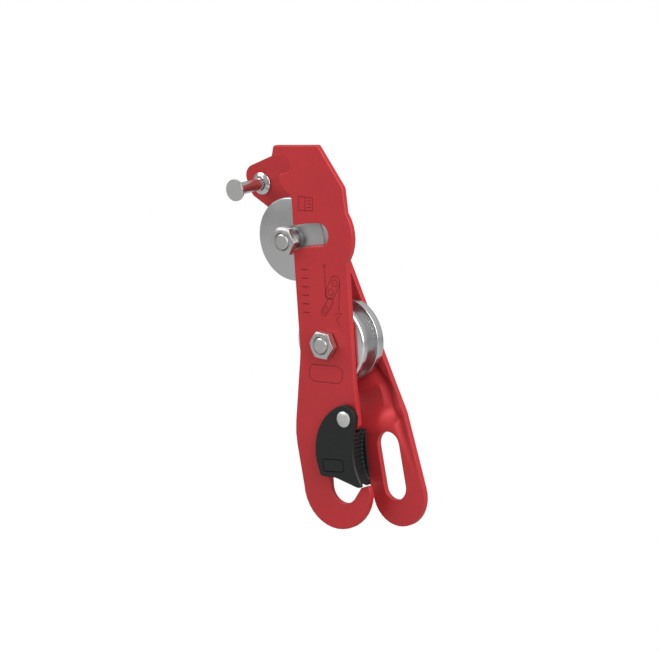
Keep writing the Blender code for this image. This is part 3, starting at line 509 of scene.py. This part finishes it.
ZINC = (0.60, 0.595, 0.58)
SLEEVE_STEEL = (0.42, 0.42, 0.42)
FLATS = 13.0 * MM
FACE_R = 0.475 * FLATS
CHAMFER_SLOPE = math.tan(math.radians(30.0))
CHAMFER_EASE = 0.1 * MM
HEX_STEPS = 120
NUT_BORE_R = 4.15 * MM
THREAD_R = 4.0 * MM
THREAD_PITCH = 1.25 * MM
THREAD_LENGTH = 7 * MM
CREST_R = THREAD_R - 0.05 * MM
ROOT_R = THREAD_R - 0.6 * MM
END_R = THREAD_R - 0.75 * MM
END_CHAMFER = 0.55 * MM
POINT_R = 0.002 * MM
DISH_R = 0.30 * FLATS
DISH_FLOOR_R = 0.27 * FLATS
HEAD_FRONT = -5.3 * MM
UPPER_BOLT_TURN = math.radians(6.0)
HEX_EDGE = 0.12 * MM
SLEEVE_EDGE = 0.1 * MM


def hex_rings(bm, centre, turn, rings):
    """Lofts rings round an axis; a ring is (radius, or None for the hexagon, y, chamfer slope)."""
    last = None
    for radius, y, slope in rings:
        verts = []
        for i in range(HEX_STEPS):
            angle = 2 * math.pi * i / HEX_STEPS
            flat = (angle + math.pi / 6) % (math.pi / 3) - math.pi / 6
            reach = FLATS / 2 / math.cos(flat) if radius is None else radius
            level = y + slope * (reach - FACE_R) if radius is None else y
            x = centre[0] + reach * math.cos(angle + turn)
            z = centre[1] + reach * math.sin(angle + turn)
            verts.append(bm.verts.new((x, level, z)))
        if last:
            for i in range(HEX_STEPS):
                j = (i + 1) % HEX_STEPS
                bm.faces.new((last[i], last[j], verts[j], verts[i]))
        last = verts
    return last


def hex_nut(centre, turn, front, back):
    """Nut with a round chamfer in front, and a countersunk bore."""
    bm = bmesh.new()
    rear_sink = 0.4 * MM
    front_sink = 0.5 * MM
    front_sink_depth = 0.55 * MM
    hex_rings(bm, centre, turn, [
        (NUT_BORE_R, back - rear_sink, 0.0), (NUT_BORE_R, front + front_sink_depth, 0.0),
        (NUT_BORE_R + front_sink, front, 0.0), (FACE_R - CHAMFER_EASE, front, 0.0),
        (None, front, CHAMFER_SLOPE), (None, back, 0.0),
        (NUT_BORE_R + rear_sink, back, 0.0), (NUT_BORE_R, back - rear_sink, 0.0)])
    bmesh.ops.remove_doubles(bm, verts=bm.verts, dist=LATHE_GAP)
    bmesh.ops.recalc_face_normals(bm, faces=bm.faces)
    return bm


def hex_bolt(centre, turn, end, head_front, head_back):
    """Bolt: hexagon head with a chamfered, dished back, shank, and ridges for threads at its front."""
    bm = bmesh.new()
    rings = [(POINT_R, end, 0.0), (END_R, end, 0.0)]
    y = end + END_CHAMFER
    while y < end + THREAD_LENGTH:
        rings += [(CREST_R, y, 0.0), (ROOT_R, y + THREAD_PITCH / 2, 0.0)]
        y += THREAD_PITCH
    rings += [(THREAD_R, y, 0.0), (THREAD_R, head_front, 0.0),
              (None, head_front, 0.0), (None, head_back, -CHAMFER_SLOPE),
              (FACE_R - CHAMFER_EASE, head_back, 0.0), (DISH_R, head_back, 0.0),
              (DISH_FLOOR_R, head_back - 0.25 * MM, 0.0), (POINT_R, head_back - 0.3 * MM, 0.0)]
    last = hex_rings(bm, centre, turn, rings)
    bm.faces.new(last)
    bm.verts.ensure_lookup_table()
    bm.faces.new([bm.verts[i] for i in range(HEX_STEPS - 1, -1, -1)])
    bmesh.ops.remove_doubles(bm, verts=bm.verts, dist=LATHE_GAP / 2)
    bmesh.ops.recalc_face_normals(bm, faces=bm.faces)
    return bm


for name, centre, turn in (("upper", upper, UPPER_BOLT_TURN), ("pivot", pivot, 0.0)):
    zinc = turned_metal(name + "_zinc", ZINC, centre, rings=1400.0,
                        depth=0.02 * MM, roughness=0.27, spread=0.12)
    hex_turn = turn + math.pi / 2 - math.pi / 6
    low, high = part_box(name + "_nut")
    finished(name + "_nut_zinc", hex_nut(centre, hex_turn, low.y, high.y), zinc,
             "frame", name + "_nut", HEX_EDGE)
    low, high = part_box(name + "_bolt")
    finished(name + "_bolt_zinc", hex_bolt(centre, hex_turn, low.y, HEAD_FRONT, high.y), zinc,
             "frame", name + "_bolt", HEX_EDGE)
for node, centre in (("notch_spacer", upper), ("pivot_bushing", pivot),
                     ("upper_bobbin_dowel", axis_of("upper_bobbin_dowel")),
                     ("lower_bobbin_dowel", axis_of("lower_bobbin_dowel"))):
    sleeve_steel = turned_metal(node + "_steel", SLEEVE_STEEL, centre, rings=2000.0,
                                depth=0.01 * MM, roughness=0.3, spread=0.1)
    finished(node + "_turned", welded(node), sleeve_steel, "frame", node, SLEEVE_EDGE)

# ---------------------------------------------------------------- friction spur
# Turned stainless steel pin that the rope is led round for more braking. Its flat head keeps the rope
# on. It is riveted through the fixed plate, between a bevelled collar in front and a washer behind.

SPUR_STEEL = (0.72, 0.715, 0.70)

spur = axis_of("friction_spur")
for node, slot_name, edge in (("friction_spur", "spur_steel", 0.15 * MM),
                              ("spur_collar", "spur_steel", 0.2 * MM),
                              ("spur_washer", "fastener_steel", 0.15 * MM)):
    spur_steel = turned_metal(node + "_steel", SPUR_STEEL, spur, rings=2200.0,
                              depth=0.008 * MM, roughness=0.2, spread=0.08)
    finished(node + "_turned", welded(node), spur_steel, "frame", node, edge)

# ---------------------------------------------------------------- mobile side plate
# Front plate, cut, tumbled, blasted and anodised like the fixed one. Its notches open to the left, and
# its hook holds the karabiner. Plain signs are engraved in it: a booklet, a rope's path, a row of bars
# and an empty frame. They are drawn as flat dark lines, whose dark red is painted shade of their grooves.

# Dark red of the engraved lines: painted shade, in place of the shade in their grooves, which are not cut.
ENGRAVING_PAINTED_SHADE_RED = (0.17, 0.008, 0.011, 1.0)
LINE_WIDTH = 0.4 * MM
BAR_WIDTH = LINE_WIDTH * 1.4
LINE_SUNK = 0.1 * MM
LINE_PROUD = 0.012 * MM
SHARPEST_MITRE = 0.5

red_front = anodised("red_anodised_front", DYE_RED)
finished("mobile_plate", welded("mobile_side_plate"), red_front, "mobile_plate",
         "mobile_side_plate", PLATE_EDGE)


def circle_points(x, z, radius, count=16):
    """Round outline in the plate's plane, in millimetres."""
    turns = [2 * math.pi * i / count for i in range(count)]
    return [(x + radius * math.cos(angle), z + radius * math.sin(angle)) for angle in turns]


def capsule_points(a, b, radius, steps=6):
    """Outline of a bar with round ends, from a to b, in millimetres."""
    lean = math.atan2(b[1] - a[1], b[0] - a[0])
    points = []
    for (x, z), start in ((b, lean - math.pi / 2), (a, lean + math.pi / 2)):
        for i in range(steps + 1):
            angle = start + math.pi * i / steps
            points.append((x + radius * math.cos(angle), z + radius * math.sin(angle)))
    return points


def engraved_lines(name, lines, face_y, width, look, body):
    """Engraved lines, shown as dark bands just proud of a front face, their sides sunk in it; their darkness
    is painted shade of the grooves.

    Each line is its points in millimetres and whether it is closed.
    """
    bm = bmesh.new()
    for points, closed in lines:
        points = [Vector(point) * MM for point in points]
        count = len(points)
        rows = []
        for i, point in enumerate(points):
            before = points[i - 1] if closed or i else point * 2 - points[i + 1]
            after = points[(i + 1) % count] if closed or i < count - 1 else point * 2 - points[i - 1]
            leave = (after - point).normalized()
            arrive = (point - before).normalized()
            along = (leave + arrive).normalized()
            mitre = max(SHARPEST_MITRE, along.dot(leave))
            side = Vector((-along.y, along.x)) * (width / 2 / mitre)
            corners = ((1, LINE_SUNK), (1, -LINE_PROUD), (-1, -LINE_PROUD), (-1, LINE_SUNK))
            rows.append([bm.verts.new((point.x + side.x * k, face_y + depth, point.y + side.y * k))
                         for k, depth in corners])
        for i in range(count if closed else count - 1):
            a, b = rows[i], rows[(i + 1) % count]
            for k in range(3):
                bm.faces.new((a[k], a[k + 1], b[k + 1], b[k]))
        if not closed:
            bm.faces.new(rows[0])
            bm.faces.new(rows[-1][::-1])
    bmesh.ops.recalc_face_normals(bm, faces=bm.faces)
    mesh = bpy.data.meshes.new(name)
    bm.to_mesh(mesh)
    bm.free()
    mesh.materials.append(look)
    piece = placed(name, mesh)
    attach(piece, body)


plate_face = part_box("mobile_side_plate")[0].y
# Painted shade: the engraved lines get this darker red in place of the shade in their grooves.
engraving_painted_shade_red = anodised("red_anodised_engraving_painted_shade", ENGRAVING_PAINTED_SHADE_RED)
booklet = [([(16.6, 72.8), (20.3, 71.1), (24.6, 69.1), (21.8, 63.4), (17.0, 64.9), (13.2, 66.6)], True),
           ([(20.3, 71.1), (17.0, 64.9)], False), ([(20.6, 69.0), (23.0, 68.0)], False),
           ([(19.8, 67.6), (22.3, 66.6)], False), ([(19.0, 66.2), (21.6, 65.1)], False)]
rope_path = [(circle_points(16.5, 35.8, 0.8), True), ([(16.2, 35.0), (10.1, 20.5)], False),
             (capsule_points((19.6, 26.6), (13.8, 22.1), 2.9), True), (circle_points(18.9, 26.0, 1.7), True),
             (circle_points(14.5, 22.6, 1.7), True), (capsule_points((12.2, 18.6), (5.9, 14.8), 1.7), True),
             (capsule_points((8.6, 16.4), (6.2, 15.0), 0.8), True),
             ([(22.3, 25.4), (20.3, 22.1), (15.3, 12.6)], False),
             ([(12.2, 11.8), (16.3, 10.9), (11.9, 8.9), (12.5, 5.3)], False)]
BAR_COUNT = 6
BAR_STEP_X = 1.68
BAR_STEP_Z = 3.98
bars = []
for i in range(BAR_COUNT):
    left = (1.6 - BAR_STEP_X * i, 39.1 - BAR_STEP_Z * i)
    right = (5.6 - BAR_STEP_X * i, 37.5 - BAR_STEP_Z * i)
    bars.append(([left, right], False))
empty_frame = [([(-13.1, -6.3), (2.0, -12.4), (4.0, -15.3), (2.2, -19.0), (-1.0, -20.5), (-16.1, -14.3),
                 (-17.4, -11.5), (-15.8, -8.0)], True)]
engraved_lines("mobile_plate_signs", booklet + rope_path + empty_frame, plate_face, LINE_WIDTH,
               engraving_painted_shade_red, "mobile_plate")
engraved_lines("mobile_plate_bars", bars, plate_face, BAR_WIDTH, engraving_painted_shade_red,
               "mobile_plate")

# ---------------------------------------------------------------- gate
# Black moulded nylon. Its two cheeks hold the plate between them, its web closes the hook, and its
# thumb side is hollowed and ribbed. All its edges have the soft rounding of a mould.

GATE_BLACK = (0.0065, 0.0085, 0.008, 1.0)
# Black of the gate's engraved frame sign, darker than the nylon: painted shade of its groove.
SIGN_PAINTED_SHADE_BLACK = (0.001, 0.001, 0.001, 1.0)
SPARK_DEPTH = 0.02 * MM
GATE_VOXEL = 0.25 * MM


def moulded_nylon(name, colour, shine):
    """Black nylon with the fine spark eroded grain of its mould."""
    look, shader = dyed(name, colour, cloud_share=0.6, roughness=0.40, strength=0.5, depth=SPARK_DEPTH)
    shader.inputs["Specular IOR Level"].default_value = shine
    return look


nylon = moulded_nylon("gate_black_nylon", GATE_BLACK, shine=0.35)
gate_piece = finished("gate_moulded", welded("gate"), nylon, "gate", "gate")
shell = gate_piece.modifiers.new("mould_shell", "REMESH")
shell.mode = "VOXEL"
shell.voxel_size = GATE_VOXEL
shell.use_smooth_shade = True
softening = gate_piece.modifiers.new("mould_softening", "SMOOTH")
softening.factor = 0.5
softening.iterations = 5
gate_frame = [([(-24.6, -52.1), (-14.0, -56.2), (-13.4, -57.4), (-15.0, -61.4), (-16.2, -61.8),
                (-26.4, -58.1), (-27.0, -57.0), (-25.6, -52.9)], True)]
# The frame sign is less shiny than the nylon. Its darker black is painted shade of the engraved groove.
sign_painted_shade_nylon = moulded_nylon("gate_engraving_painted_shade_nylon", SIGN_PAINTED_SHADE_BLACK, shine=0.04)
engraved_lines("gate_sign", gate_frame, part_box("gate")[0].y, LINE_WIDTH, sign_painted_shade_nylon, "gate")

# ---------------------------------------------------------------- gate's spring, rivet and sleeve
# A steel wire spring round the sleeve shuts the gate. The rivet's domed head sits in the front cheek,
# and its tail is peened over a washer behind the mobile plate.

RIVET_STEEL = (0.70, 0.70, 0.69)
SPRING_STEEL = (0.55, 0.55, 0.54)

rivet = axis_of("gate_rivet")
for node, slot_name, edge in (("gate_rivet", "spur_steel", 0.0),
                              ("gate_pivot_sleeve", "fastener_steel", SLEEVE_EDGE),
                              ("gate_rivet_washer", "fastener_steel", SLEEVE_EDGE)):
    rivet_steel = turned_metal(node + "_steel", RIVET_STEEL, rivet, rings=1600.0,
                               depth=0.01 * MM, roughness=0.42, spread=0.1)
    finished(node + "_finished", welded(node), rivet_steel, "mobile_plate", node, edge)

spring_mesh = bpy.data.meshes.new("gate_spring_wire")
spring_bm = welded("gate_spring")
spring_bm.to_mesh(spring_mesh)
spring_bm.free()
spring_mesh.shade_smooth()
spring_mesh.materials.append(turned_metal("spring_wire_steel", SPRING_STEEL, rivet, rings=1600.0,
                                          depth=0.01 * MM, roughness=0.25, spread=0.1))
spring = placed("gate_spring_wire", spring_mesh)
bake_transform(spring)
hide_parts("gate_spring")
